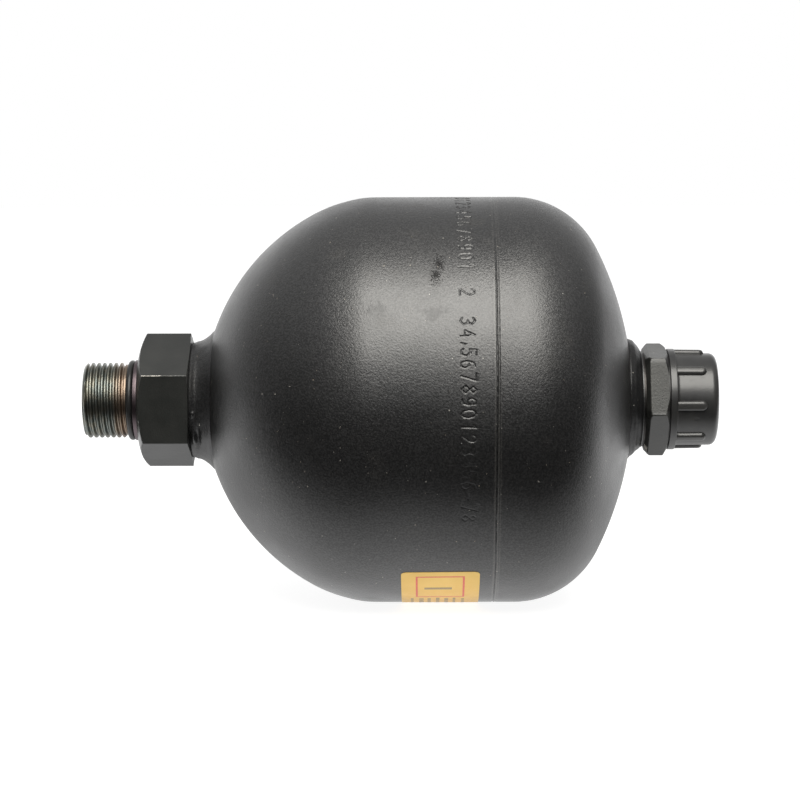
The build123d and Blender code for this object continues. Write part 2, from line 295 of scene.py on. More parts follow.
grainGroup = makeGrainGroup()
speckGroup = makeSpeckGroup()
blotchGroup = makeBlotchGroup()
spotGroup = makeSpotGroup()


def placeGroup(tree, group, vector, **values):
    node = tree.nodes.new("ShaderNodeGroup")
    node.node_tree = group
    plug(tree, vector, node.inputs["Vector"])
    for label, value in values.items():
        node.inputs[label].default_value = value
    return node


# fine grain and slow blotches, which most finishes carry
def placeSkin(tree, coords, grainScale, coarse, blotchScale):
    grain = placeGroup(tree, grainGroup, coords, Scale=grainScale, Coarse=coarse)
    return grain, placeGroup(tree, blotchGroup, coords, Scale=blotchScale)


# worn spots at several places, as one mask
def placeSpots(tree, coords, places, reach, ragged, scale):
    masks = []
    for place in places:
        spot = placeGroup(tree, spotGroup, coords, Place=place, Reach=reach, Ragged=ragged, Scale=scale)
        masks.append(spot.outputs["Mask"])
    return mathNode(tree, "MAXIMUM", *masks)


def newMaterial(name):
    material = bpy.data.materials.new(name)
    material.use_nodes = True
    tree = material.node_tree
    tree.nodes.clear()
    out = tree.nodes.new("ShaderNodeOutputMaterial")
    shader = tree.nodes.new("ShaderNodeBsdfPrincipled")
    plug(tree, shader.outputs["BSDF"], out.inputs["Surface"])
    coords = tree.nodes.new("ShaderNodeTexCoord").outputs["Object"]
    return material, tree, shader, coords


# a where factor is 0, b where it is 1
def mixColour(tree, factor, a, b):
    node = tree.nodes.new("ShaderNodeMix")
    node.data_type = "RGBA"
    feed(tree, node.inputs["Factor"], factor)
    for label, value in (("A", a), ("B", b)):
        feed(tree, node.inputs[label], (*value, 1) if isinstance(value, tuple) else value)
    return node.outputs["Result"]


def mixValue(tree, factor, a, b):
    node = tree.nodes.new("ShaderNodeMix")
    for label, value in (("Factor", factor), ("A", a), ("B", b)):
        feed(tree, node.inputs[label], value)
    return node.outputs["Result"]


def bumpFrom(tree, shader, height, strength, distance):
    bump = tree.nodes.new("ShaderNodeBump")
    bump.inputs["Strength"].default_value = strength
    bump.inputs["Distance"].default_value = distance
    plug(tree, height, bump.inputs["Height"])
    plug(tree, bump.outputs["Normal"], shader.inputs["Normal"])


def axisPart(tree, coords, axis):
    node = tree.nodes.new("ShaderNodeSeparateXYZ")
    plug(tree, coords, node.inputs[0])
    return node.outputs[axis]


def attributeOf(tree, name):
    node = tree.nodes.new("ShaderNodeAttribute")
    node.attribute_name = name
    return node.outputs["Fac"]


print("shader groups built")

# finishes

paint = dict(
    dark=(0.013, 0.013, 0.0135),
    worn=(0.021, 0.020, 0.0185),
    # pale paint for the highlight painted along the weld seam's edges
    paintedSheen=(0.066, 0.064, 0.060),
    scuffed=(0.006, 0.006, 0.006),
    dust=(0.58, 0.56, 0.52),
    brownDust=(0.46, 0.38, 0.29),
    rough=0.37,
    specular=1.0,
    ior=1.53,
    dull=0.34,          # metallic value in the low spots of the grain
    scuffDull=0.72,
    smudgeDull=0.36,
    grainScale=1550.0,
    coarse=0.3,
    blotchScale=38.0,
    bump=0.7,
    bumpDepth=0.15 * mm,
    scuffs=((0.1265, -0.0512, 0.0513), (0.1255, -0.0548, 0.0475)),
    scuffReach=(0.0016, 0.0032, 0.0032),
    smudges=((0.1252, -0.0632, 0.0355), (0.1055, -0.0625, 0.0367)),
    smudgeReach=(0.0050, 0.0030, 0.0030),
)


# satin black paint: orange peel, blotches, specks of dust, a dark scuff; paler along the weld seam, which
# is a painted highlight
def makeBodyPaint(name, glossDimmedByShade):
    p = paint
    material, tree, shader, coords = newMaterial(name)
    grain, blotch = placeSkin(tree, coords, p["grainScale"], p["coarse"], p["blotchScale"])
    specks = placeGroup(tree, speckGroup, coords, Scale=290.0, Size=0.052, Share=1.0)
    fineDust = placeGroup(tree, speckGroup, coords, Scale=470.0, Size=0.08, Share=0.4)
    scuff = placeSpots(tree, coords, p["scuffs"], p["scuffReach"], 1.6, 2100.0)
    smudge = placeSpots(tree, coords, p["smudges"], p["smudgeReach"], 0.6, 500.0)
    worn = mathNode(tree, "MULTIPLY", blotch.outputs["Patch"], 0.5)
    colour = mixColour(tree, worn, p["dark"], p["worn"])
    colour = mixColour(tree, mathNode(tree, "MULTIPLY", scuff, 0.9), colour, p["scuffed"])
    # painted highlight: paler along the edges of the weld seam
    colour = mixColour(tree, attributeOf(tree, "pale"), colour, p["paintedSheen"])
    faint = mathNode(tree, "MULTIPLY", fineDust.outputs["Mask"], 0.35)
    dusty = mathNode(tree, "MAXIMUM", specks.outputs["Mask"], faint)
    dustTone = mixColour(tree, specks.outputs["Tone"], p["dust"], p["brownDust"])
    colour = mixColour(tree, mathNode(tree, "MULTIPLY", dusty, 0.6), colour, dustTone)
    plug(tree, colour, shader.inputs["Base Color"])
    rough = mixValue(tree, blotch.outputs["Soft"], p["rough"] - 0.03, p["rough"] + 0.04)
    patch = mathNode(tree, "MULTIPLY", blotch.outputs["Patch"], 0.35)
    rough = mixValue(tree, patch, rough, p["rough"] + 0.12)
    rough = mixValue(tree, scuff, rough, 0.62)
    spread = mathNode(tree, "MULTIPLY_ADD", grain.outputs["Speckle"], 0.08, -0.04)
    plug(tree, mathNode(tree, "ADD", rough, spread), shader.inputs["Roughness"])
    # a value below 1 dims the reflection as painted shade
    shader.inputs["Specular IOR Level"].default_value = p["specular"] * glossDimmedByShade
    shader.inputs["IOR"].default_value = p["ior"]
    # the paint isn't metallic: on so dark a base a higher value only throws back less light
    dull = mixValue(tree, grain.outputs["Speckle"], p["dull"], 0.0)
    dull = mathNode(tree, "MAXIMUM", dull, mathNode(tree, "MULTIPLY", smudge, p["smudgeDull"]))
    dull = mathNode(tree, "MAXIMUM", dull, mathNode(tree, "MULTIPLY", scuff, p["scuffDull"]))
    plug(tree, dull, shader.inputs["Metallic"])
    height = mathNode(tree, "MULTIPLY_ADD", dusty, 1.5, grain.outputs["Height"])
    bumpFrom(tree, shader, height, p["bump"], p["bumpDepth"])
    return material


turnedSteel = dict(
    grey=(0.165, 0.182, 0.170),
    yellow=(0.230, 0.222, 0.185),
    brown=(0.255, 0.195, 0.148),
    purple=(0.14, 0.112, 0.12),
    brownFrom=9.5 * mm,
    brownTo=14.5 * mm,
    purpleFrom=16.0 * mm,
    purpleTo=17.8 * mm,
)


# bare turned steel; heated tells whether it is tinted towards the hexagon of the fluid port
def makeThreadSteel(name, heated):
    t = turnedSteel
    material, tree, shader, coords = newMaterial(name)
    x = axisPart(tree, coords, "X")
    tint = noiseNode(tree, coords, 260.0, 2.0)
    steel = mixColour(tree, ramp(tree, tint, 0.35, 0.65), t["grey"], t["yellow"])
    if heated:
        steel = mixColour(tree, ramp(tree, x, t["brownFrom"], t["brownTo"]), steel, t["brown"])
        steel = mixColour(tree, ramp(tree, x, t["purpleFrom"], t["purpleTo"]), steel, t["purple"])
    plug(tree, steel, shader.inputs["Base Color"])
    shader.inputs["Metallic"].default_value = 1.0
    rings = tree.nodes.new("ShaderNodeTexWave")
    rings.bands_direction = "X"
    rings.inputs["Scale"].default_value = 2600.0
    rings.inputs["Distortion"].default_value = 1.5
    plug(tree, coords, rings.inputs["Vector"])
    plug(tree, mixValue(tree, rings.outputs["Fac"], 0.32, 0.40), shader.inputs["Roughness"])
    bumpFrom(tree, shader, rings.outputs["Fac"], 0.08, 0.02 * mm)
    return material


blackSteel = dict(
    dust=(0.4, 0.38, 0.34),
    bright=(0.62, 0.59, 0.54),
    wearFrom=0.55,
    wearTo=0.8,
    wearMetal=0.8,
    roughAndShadedMetal=0.6,
    specular=0.66,
)


# blackened steel; the attributes tell where it is worn bright and where it is rough from the bar; on the
# valve's bevel the rough mark is painted shade, so it throws back less light
def makeHexSteel(name, dark, light, rough, textureDepth):
    b = blackSteel
    material, tree, shader, coords = newMaterial(name)
    grain, blotch = placeSkin(tree, coords, 1900.0, 0.6, 70.0)
    specks = placeGroup(tree, speckGroup, coords, Scale=330.0, Size=0.07, Share=0.06)
    chips = noiseNode(tree, coords, 1700.0, 2.0, 0.7)
    ragged = mathNode(tree, "ADD", chips, 0.45)
    wear = mathNode(tree, "MULTIPLY", attributeOf(tree, "wear"), ragged)
    wear = ramp(tree, wear, b["wearFrom"], b["wearTo"])
    colour = mixColour(tree, blotch.outputs["Soft"], dark, light)
    speckled = mathNode(tree, "MULTIPLY", specks.outputs["Mask"], 0.5)
    colour = mixColour(tree, speckled, colour, b["dust"])
    colour = mixColour(tree, wear, colour, b["bright"])
    plug(tree, colour, shader.inputs["Base Color"])
    dull = mathNode(tree, "MULTIPLY", attributeOf(tree, "rough"), b["roughAndShadedMetal"])
    bare = mathNode(tree, "MULTIPLY", wear, b["wearMetal"])
    plug(tree, mathNode(tree, "MAXIMUM", bare, dull), shader.inputs["Metallic"])
    plug(tree, mixValue(tree, blotch.outputs["Soft"], rough, rough + 0.07), shader.inputs["Roughness"])
    shader.inputs["Specular IOR Level"].default_value = b["specular"]
    coarse = noiseNode(tree, coords, 1300.0, 3.0, 0.65)
    depth = mathNode(tree, "MULTIPLY", attributeOf(tree, "rough"), textureDepth)
    height = mathNode(tree, "MULTIPLY_ADD", depth, coarse, grain.outputs["Height"])
    bumpFrom(tree, shader, height, 0.4, 0.12 * mm)
    return material


def makeRubber(name, tone, rough):
    material, tree, shader, coords = newMaterial(name)
    grain, blotch = placeSkin(tree, coords, 2500.0, 0.5, 120.0)
    pale = 1.6 * tone
    colour = mixColour(tree, blotch.outputs["Soft"], (tone, tone, tone), (pale, pale, pale))
    plug(tree, colour, shader.inputs["Base Color"])
    plug(tree, mixValue(tree, blotch.outputs["Soft"], rough, rough + 0.1), shader.inputs["Roughness"])
    bumpFrom(tree, shader, grain.outputs["Height"], 0.2, 0.04 * mm)
    return material


def makePlainMetal(name, dark, light, rough):
    material, tree, shader, coords = newMaterial(name)
    grain, blotch = placeSkin(tree, coords, 1800.0, 0.5, 160.0)
    plug(tree, mixColour(tree, blotch.outputs["Soft"], dark, light), shader.inputs["Base Color"])
    shader.inputs["Metallic"].default_value = 1.0
    dull = mixValue(tree, grain.outputs["Speckle"], rough - 0.05, rough + 0.08)
    plug(tree, dull, shader.inputs["Roughness"])
    bumpFrom(tree, shader, grain.outputs["Height"], 0.2, 0.03 * mm)
    return material


plastic = dict(
    dark=(0.017, 0.017, 0.0175),
    light=(0.026, 0.026, 0.0255),
    chalk=(0.07, 0.068, 0.064),
    specular=0.68,
    mark=(0.2177, -0.0155, -0.0055),   # small oval mark of the mould
    markReach=(0.0011, 0.0007, 0.0007),
)


# moulded black plastic, satin, a little chalky on its raised edges
def makeCapPlastic():
    p = plastic
    material, tree, shader, coords = newMaterial("capPlastic")
    grain, blotch = placeSkin(tree, coords, 1400.0, 0.7, 140.0)
    colour = mixColour(tree, blotch.outputs["Soft"], p["dark"], p["light"])
    chalky = mathNode(tree, "MULTIPLY", attributeOf(tree, "wear"), 0.5)
    plug(tree, mixColour(tree, chalky, colour, p["chalk"]), shader.inputs["Base Color"])
    plug(tree, mixValue(tree, blotch.outputs["Patch"], 0.29, 0.38), shader.inputs["Roughness"])
    shader.inputs["Specular IOR Level"].default_value = p["specular"]
    mark = placeGroup(tree, spotGroup, coords, Place=p["mark"], Reach=p["markReach"], Ragged=0.05)
    height = mathNode(tree, "MULTIPLY_ADD", mark.outputs["Mask"], -3.0, grain.outputs["Height"])
    bumpFrom(tree, shader, height, 0.22, 0.08 * mm)
    return material


def makeLabelFilm():
    material, tree, shader, coords = newMaterial("labelFilm")
    grain, blotch = placeSkin(tree, coords, 900.0, 0.5, 90.0)
    colour = mixColour(tree, blotch.outputs["Soft"], (0.73, 0.49, 0.15), (0.77, 0.535, 0.175))
    plug(tree, colour, shader.inputs["Base Color"])
    plug(tree, mixValue(tree, grain.outputs["Speckle"], 0.40, 0.50), shader.inputs["Roughness"])
    shader.inputs["Specular IOR Level"].default_value = 0.2
    bumpFrom(tree, shader, grain.outputs["Height"], 0.12, 0.04 * mm)
    return material


def makeInk(name, tone, other):
    material, tree, shader, coords = newMaterial(name)
    grain = placeGroup(tree, grainGroup, coords, Scale=2200.0, Coarse=0.5)
    plug(tree, mixColour(tree, grain.outputs["Speckle"], tone, other), shader.inputs["Base Color"])
    shader.inputs["Roughness"].default_value = 0.5
    return material


bodyPaint = makeBodyPaint("bodyPaint", 1.0)
# darker copies of the body paint for the weld beads, which throw back less light: painted shade round the
# ports
shadedWeldPaint = makeBodyPaint("shadedWeldPaint", 0.62)
shadedGasWeldPaint = makeBodyPaint("shadedGasWeldPaint", 0.3)
threadSteel = makeThreadSteel("threadSteel", True)
valveThread = makeThreadSteel("valveThread", False)
studBlack = makeHexSteel("studBlack", (0.0135, 0.0145, 0.0135), (0.0190, 0.0198, 0.0182), 0.31, 0.0)
valveBlack = makeHexSteel("valveBlack", (0.022, 0.0225, 0.0215), (0.033, 0.033, 0.031), 0.31, 1.5)
sealRubber = makeRubber("sealRubber", 0.010, 0.32)
bladderRubber = makeRubber("bladderRubber", 0.016, 0.5)
sealMetal = makePlainMetal("sealMetal", (0.028, 0.027, 0.026), (0.050, 0.047, 0.045), 0.42)
plainSteel = makePlainMetal("plainSteel", (0.50, 0.50, 0.50), (0.60, 0.60, 0.59), 0.30)
capPlastic = makeCapPlastic()
labelFilm = makeLabelFilm()
redInk = makeInk("redInk", (0.62, 0.11, 0.09), (0.70, 0.16, 0.12))
greyInk = makeInk("greyInk", (0.28, 0.215, 0.12), (0.36, 0.28, 0.15))
print("finishes built")

# vessel

vessel = dict(
    radius=72.5 * mm,
    wall=5.5 * mm,
    fluidKnuckle=51.4 * mm,
    fluidTurn=28.5,   # degrees that the knuckle turns
    gasKnuckle=33.0 * mm,
    gasTurn=62.8,
    cylinder=47.1 * mm,
    standoff=3.2 * mm,  # hexagon to the pole of the head
)
seamLow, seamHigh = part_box("girth_weld")
seamMiddle = (seamLow.x + seamHigh.x) / 2
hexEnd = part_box("fluid_port_weld")[0].x
fluidPole = hexEnd + vessel["standoff"]


# crown radius, distance from tangent line to crown centre, and depth of a head
def headOf(knuckle, turn):
    rise = vessel["radius"] - knuckle
    crown = knuckle + rise / cos(radians(turn))
    offset = rise * tan(radians(turn))
    return crown, offset, crown - offset


fluidCrown, fluidOffset, fluidDepth = headOf(vessel["fluidKnuckle"], vessel["fluidTurn"])
gasCrown, gasOffset = headOf(vessel["gasKnuckle"], vessel["gasTurn"])[:2]
fluidTangent = fluidPole + fluidDepth
gasTangent = fluidTangent + vessel["cylinder"]
fluidCentre = fluidTangent + fluidOffset
gasCentre = gasTangent - gasOffset


# (x, r) points of a head from its tangent line to endRadius; side is -1 for the fluid side
def headProfile(side, inset, endRadius, knuckleSteps, crownSteps):
    knuckle = vessel["fluidKnuckle"] if side < 0 else vessel["gasKnuckle"]
    turn = radians(vessel["fluidTurn"] if side < 0 else vessel["gasTurn"])
    crown = (fluidCrown if side < 0 else gasCrown) - inset
    tangent = fluidTangent if side < 0 else gasTangent
    centre = fluidCentre if side < 0 else gasCentre
    rise = vessel["radius"] - knuckle
    points = []
    for t in np.linspace(0, turn, knuckleSteps):
        points.append((tangent + side * (knuckle - inset) * sin(t), rise + (knuckle - inset) * cos(t)))
    last = np.arcsin(endRadius / crown)
    for t in np.linspace(pi / 2 - turn, last, crownSteps)[1:]:
        points.append((centre + side * crown * cos(t), crown * sin(t)))
    return points


# stamped digits: a column of plain counting figures that runs round the cylinder
stamp = dict(
    # where each group starts, in millimetres of arc below the level of the axis, and its pitch
    groups=((-98.5, 4.6, "012345678901"), (-37.6, 4.6, "2"), (-26.5, 4.6, "34"), (-18.4, 4.1, "."),
            (-15.5, 4.1, "567890123456-78")),
    fromSeam=9.5 * mm,
    level=-6.0,          # the arc is counted from this many degrees below -Y
    height=5.0 * mm,
    width=2.8 * mm,
    lean=0.012,          # the upper part of the column runs off by this much
    stroke=0.60 * mm,
    depth=0.24 * mm,
)
stampX = seamMiddle - stamp["fromSeam"]

rolled = dict(fromSeam=46.5 * mm, runOut=5.5 * mm, height=0.13 * mm)

digitStrokes = {
    "0": [[
        (0.5, 1), (0.14, 0.82), (0.05, 0.5), (0.14, 0.18), (0.5, 0), (0.86, 0.18), (0.95, 0.5),
        (0.86, 0.82), (0.5, 1),
    ]],
    "1": [[(0.25, 0.8), (0.55, 1), (0.55, 0)]],
    "2": [[(0.08, 0.78), (0.3, 0.98), (0.7, 0.98), (0.92, 0.76), (0.8, 0.5), (0.08, 0), (0.94, 0)]],
    "3": [[
        (0.1, 0.86), (0.45, 1), (0.88, 0.8), (0.72, 0.56), (0.4, 0.52), (0.74, 0.48), (0.92, 0.22),
        (0.5, 0), (0.08, 0.14),
    ]],
    "4": [[(0.74, 0), (0.74, 1), (0.06, 0.3), (0.96, 0.3)]],
    "5": [[
        (0.88, 1), (0.2, 1), (0.14, 0.56), (0.55, 0.62), (0.92, 0.34), (0.7, 0.03), (0.3, 0),
        (0.06, 0.14),
    ]],
    "6": [[
        (0.8, 0.95), (0.35, 0.85), (0.08, 0.4), (0.25, 0.03), (0.7, 0.02), (0.93, 0.3),
        (0.68, 0.55), (0.3, 0.52), (0.1, 0.32),
    ]],
    "7": [[(0.06, 1), (0.94, 1), (0.38, 0)]],
    "8": [[
        (0.5, 0.54), (0.14, 0.76), (0.5, 1), (0.86, 0.76), (0.5, 0.54), (0.06, 0.26), (0.5, 0),
        (0.94, 0.26), (0.5, 0.54),
    ]],
    "9": [[
        (0.9, 0.66), (0.65, 0.44), (0.25, 0.47), (0.07, 0.72), (0.32, 0.98), (0.75, 0.96),
        (0.92, 0.6), (0.68, 0.14), (0.22, 0.04),
    ]],
    "-": [[(0.15, 0.5), (0.85, 0.5)]],
    ".": [[(0.35, 0.02), (0.6, 0.4)]],
}


# distance of points (u, v) to a polyline, all in metres
def strokeDistance(u, v, line):
    best = np.full(u.shape, 1.0)
    for (ax, ay), (bx, by) in zip(line[:-1], line[1:]):
        dx, dy = bx - ax, by - ay
        t = np.clip(((u - ax) * dx + (v - ay) * dy) / (dx * dx + dy * dy), 0, 1)
        best = np.minimum(best, np.hypot(u - ax - t * dx, v - ay - t * dy))
    return best


# how deep the stamped figures are at places on the cylinder; angle is about X
def stampDepth(x, angle):
    s = stamp
    arc = turnFrom(angle, s["level"]) * vessel["radius"]
    depth = np.zeros(arc.shape)
    uneven = np.random.default_rng(7)
    for start, pitch, text in s["groups"]:
        for n, figure in enumerate(text):
            middle = (start + n * pitch) * mm
            lean = uneven.normal(0, 0.05)
            shift = uneven.normal(0, 0.10 * mm) + s["lean"] * min(middle, 0)
            force = uneven.uniform(0.75, 1.1) * float(np.interp(middle, (5 * mm, 22 * mm), (1.0, 0.5)))
            v = x - (stampX - s["height"] / 2) - shift
            u = arc - middle + s["width"] / 2 - lean * v
            near = (np.abs(u - s["width"] / 2) < s["width"]) & (v > -mm) & (v < s["height"] + mm)
            if not near.any():
                continue
            un, vn = u[near], v[near]
            for line in digitStrokes[figure]:
                scaled = [(a * s["width"], b * s["height"]) for a, b in line]
                away = strokeDistance(un, vn, scaled)
                cut = force * s["depth"] * (1 - smooth((away - 0.12 * s["stroke"]) / (0.5 * s["stroke"])))
                lip = 0.05 * force * s["depth"] * smooth(1 - np.abs(away / s["stroke"] - 0.75) / 0.3)
                depth[near] = np.where(cut > 0, np.maximum(depth[near], cut), np.minimum(depth[near], -lip))
    return depth


# the head leaves the cylinder over a faint rolled edge: a little more metal just outside it
def rolledEdge(x):
    e = rolled
    rise = smooth((fluidTangent - x) / (fluidTangent - seamMiddle + e["fromSeam"]))
    fall = (x - seamMiddle + e["fromSeam"] + e["runOut"]) / e["runOut"]
    return e["height"] * max(0.0, float(softMin(rise, fall, 0.45)))


def makeFluidHalf():
    s = stamp
    first = below(s["level"]) + s["groups"][0][0] * mm / vessel["radius"]
    last = below(s["level"]) + 44 * mm / vessel["radius"]
    dense = np.linspace(first - 0.04, last + 0.02, 640)
    rest = dense[-1] + np.linspace(0, 2 * pi - (dense[-1] - dense[0]), 90)[1:-1]
    angles = np.concatenate([dense, rest])
    seamFace = seamLow.x
    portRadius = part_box("fluid_port_weld")[1].z - 7.1 * mm
    stations = [(x, r + rolledEdge(x)) for x, r in headProfile(-1, 0, portRadius, 44, 20)[::-1]]
    band = np.linspace(stampX - 0.98 * s["height"], stampX + 0.58 * s["height"], 38)
    stations += [(x, vessel["radius"]) for x in np.linspace(fluidTangent, band[0], 6)[1:-1]]
    for x in band:
        stations.append((x, vessel["radius"] - stampDepth(np.full(len(angles), x), angles)))
    stations.append((band[-1] + 1.2 * mm, vessel["radius"]))
    stations.append((seamFace - 0.25 * mm, vessel["radius"]))
    stations.append((seamFace, vessel["radius"] - 0.02 * mm))
    inner = vessel["radius"] - vessel["wall"]
    stations.append((seamFace, inner))
    stations += headProfile(-1, vessel["wall"], portRadius, 6, 6)
    piece = turnedMesh("vesselFluidHalf", stations, angles)
    return dress(piece, bodyPaint, "vessel", "body_paint", "fluid_side_shell")


def makeGasHalf():
    seamFace = seamHigh.x
    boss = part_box("gas_port_boss")[1].z
    outer = [(seamFace, vessel["radius"] - 0.02 * mm), (seamFace + 0.25 * mm, vessel["radius"])]
    outer += headProfile(1, 0, boss, 30, 24)
    inner = headProfile(1, vessel["wall"], boss, 12, 10)[::-1]
    stations = outer + inner + [(seamFace, vessel["radius"] - vessel["wall"])]
    piece = turnedMesh("vesselGasHalf", stations, angleSteps(320))
    return dress(piece, bodyPaint, "vessel", "body_paint", "gas_side_shell")


# profile of the painted weld seam: distance from its middle, depth, both in millimetres, paleness of the
# highlight painted along its edges
seamProfile = (
    (-1.5, 0.02, 0.0), (-1.2, 0.0, 0.0), (-0.85, 0.0, 0.8), (-0.58, 0.0, 1.0), (-0.44, 0.03, 0.4),
    (-0.32, 0.10, 0.0), (-0.20, 0.40, 0.0), (-0.04, 0.40, 0.0), (0.10, 0.14, 0.0), (0.22, 0.02, 0.7),
    (0.36, -0.04, 1.0), (0.52, -0.05, 1.0), (0.66, 0.02, 0.5), (0.78, 0.10, 0.0), (0.88, 0.12, 0.0),
    (0.98, 0.04, 0.3), (1.12, 0.0, 0.9), (1.3, 0.0, 0.5), (1.5, 0.02, 0.0),
)


def makeSeamBead():
    angles = angleSteps(720)
    wander = 0.06 * np.sin(5 * angles) + 0.05 * np.sin(13 * angles + 1) + 0.03 * np.sin(41 * angles)
    ripple = 0.5 + 0.25 * np.sin(3 * angles + 0.6) + 0.15 * np.sin(29 * angles)
    ripple += 0.12 * np.sin(67 * angles + 2) + 0.12 * np.sin(109 * angles) + 0.1 * np.sin(151 * angles + 1)
    # the groove is shallow over the top and soft underneath
    turn = np.degrees(turnFrom(angles, 0))
    places = (-180, -90, -60, -40, -15, 20, 44, 180)
    deep = np.interp(turn, places, (0.4, 0.25, 0.35, 0.6, 1.1, 1.2, 0.7, 0.5))
    # painted highlight along the seam's edges, strongest on the lower front
    paintedSheen = np.interp(turn, (-180, -70, -30, 10, 40, 75, 180), (0.2, 0.2, 0.5, 0.6, 1.0, 0.9, 0.2))
    stations, pale = [], []
    for offset, depth, paleness in seamProfile:
        pale.append(paleness * paintedSheen * (0.7 + 0.3 * ripple))
        moving = 1 - abs(offset) / 1.5
        x = seamMiddle + (offset + wander * moving) * mm
        stations.append((x, vessel["radius"] - depth * deep * (0.55 + 0.9 * ripple) * mm))
    inner = vessel["radius"] - vessel["wall"]
    stations += [(seamHigh.x, inner), (seamLow.x, inner)]
    piece = turnedMesh("seamBead", stations, angles, 60)
    setAttribute(piece, "pale", pale + [np.zeros(len(angles))] * 2)
    return dress(piece, bodyPaint, "vessel", "body_paint", "girth_weld")


fluidWeld = dict(
    neck=18.0 * mm,
    top=2.65 * mm,
    foot=7.1 * mm,
    hollow=0.50 * mm,
    bead=0.18 * mm,
    lumpTurn=32.0,        # degrees below -Y
    lump=1.15 * mm,
    # lump, pit and drop: turn from there and width, place down the face and length, height
    marks=((0.0, 0.13, 0.12, 0.10, 1.0), (0.03, 0.15, 0.36, 0.09, -0.9), (-0.42, 0.05, 0.10, 0.07, 0.8)),
)


def makeFluidWeld():
    w = fluidWeld
    angles = angleSteps(420)
    topR, toeR = w["neck"] + w["top"], w["neck"] + w["foot"]
    toeX = fluidCentre - sqrt(fluidCrown**2 - toeR**2)
    turn = turnFrom(angles, w["lumpTurn"])
    stations = [(hexEnd - 0.8 * mm, w["neck"]), (hexEnd - 0.8 * mm, topR - 0.5 * mm)]
    stations.append((hexEnd - 0.5 * mm, topR - 0.08 * mm))
    waves = np.random.default_rng(3).uniform(0, 2 * pi, 6)
    for t in np.linspace(0, 1, 26):
        x = hexEnd + (toeX - hexEnd) * t
        r = topR + (toeR - topR) * t**1.25 - w["hollow"] * sin(pi * t) ** 1.2
        r += w["bead"] * (np.exp(-(((t - 0.17) / 0.1) ** 2)) + 0.6 * np.exp(-(((t - 0.92) / 0.09) ** 2)))
        ripple = sum(np.sin((5 + 7 * k) * angles + waves[k] + 3 * t) / (2 + k) for k in range(6))
        r = r + 0.06 * mm * ripple * sin(pi * t)
        for side, wide, place, long, height in w["marks"]:
            r = r + height * w["lump"] * np.exp(-(((turn - side) / wide) ** 2) - ((t - place) / long) ** 2)
        # the foot runs out onto the head
        onHead = np.sqrt(np.maximum(fluidCrown**2 - (fluidCentre - x) ** 2, 0)) if x > fluidPole else 0
        r = np.maximum(r, onHead + 0.03 * mm * (1 - t))
        stations.append((x, r))
    for t in np.linspace(0.2, 1, 6):
        r = toeR + 2.2 * mm * t
        x = fluidCentre - sqrt(fluidCrown**2 - r**2) + (t * 0.10 - 0.04) * mm
        stations.append((x, r))
    root = fluidCentre - sqrt((fluidCrown - mm) ** 2 - toeR**2)
    stations += [(root, toeR), (root, w["neck"])]
    piece = turnedMesh("fluidWeldBead", stations, angles, 50)
    return dress(piece, shadedWeldPaint, "vessel", "body_paint", "fluid_port_weld")


gasWeld = dict(
    boss=17.2 * mm,
    foot=4.3 * mm,
    leg=4.1 * mm,
    crown=0.62 * mm,
    uneven=1.05,   # the bead stands higher on top than underneath
)


def makeGasWeld():
    w = gasWeld
    angles = angleSteps(360)
    toeR = w["boss"] + w["foot"]
    toeX = gasCentre + sqrt(gasCrown**2 - toeR**2)
    rootX = gasCentre + sqrt(gasCrown**2 - w["boss"] ** 2)
    topX = rootX + w["leg"]
    stations = [(rootX - mm, w["boss"]), (topX, w["boss"])]
    for t in np.linspace(0, 1, 18):
        x = topX + (toeX - topX) * t
        r = w["boss"] + 0.15 * mm + w["foot"] * t
        r = r + w["crown"] * sin(pi * t) ** 0.7 * (1 + w["uneven"] * np.sin(angles))
        ripple = np.sin(9 * angles + 4 * t) + 0.6 * np.sin(23 * angles + 1)
        ripple += 0.4 * np.sin(57 * angles + 6 * t)
        step = 0.12 * mm * np.sin(2 * pi * 2.2 * t)
        stations.append((x, r + 0.05 * mm * ripple * sin(pi * t) + step * sin(pi * t)))
    for t in np.linspace(0.3, 1, 5):
        r = toeR + 0.15 * mm + 1.5 * mm * t
        stations.append((gasCentre + sqrt(gasCrown**2 - r**2) - (t * 0.08 - 0.04) * mm, r))
    stations += [(toeX - 0.8 * mm, toeR + 0.5 * mm), (rootX - mm, w["boss"] + mm)]
    piece = turnedMesh("gasWeldBead", stations, angles, 50)
    return dress(piece, shadedGasWeldPaint, "vessel", "body_paint", "gas_port_weld")


makeFluidHalf()
makeGasHalf()
makeSeamBead()
makeFluidWeld()
makeGasWeld()
print("vessel built")

# fluid port

stud = dict(
    thread=13.5 * mm,
    pitch=2.06 * mm,
    threadDepth=1.24 * mm,
    threadEnd=15.5 * mm,
    runOut=0.72 * mm,      # last turns fall away by this much
    chamfer=1.0 * mm,
    grooveFloor=11.9 * mm,
    grooveEnd=18.0 * mm,
    collar=14.45 * mm,
    hexStart=19.6 * mm,
    flats=42.0 * mm,
    turn=33.5,
    front=dict(flat=15.9 * mm, reach=5.1 * mm, depth=1.25 * mm, bow=0.62),
    back=dict(flat=18.2 * mm, reach=2.8 * mm, depth=0.72 * mm, bow=2.5),
    corner=0.45 * mm,
    bore=8.0 * mm,
    boreDepth=36.0 * mm,
    passage=6.0 * mm,
    wearWidth=0.26 * mm,
    wear=0.55,
    strongWear=0.92,
    edgeWear=0.72,
)


# outline of a hexagon with rounded corners, in polar form; also how near a corner is
def hexRadius(angles, flats, turn, corner):
    apothem = flats / 2
    off = (angles - below(turn) + pi / 6) % (pi / 3) - pi / 6   # 0 at a corner
    plane = apothem / np.cos(pi / 6 - np.abs(off))
    centre = (apothem - corner) / cos(pi / 6)
    reach = atan2(corner * sin(pi / 6), centre + corner * cos(pi / 6))
    inside = np.clip(corner**2 - (centre * np.sin(off)) ** 2, 0, None)
    arc = centre * np.cos(off) + np.sqrt(inside)
    return np.where(np.abs(off) < reach, arc, plane), np.abs(off)


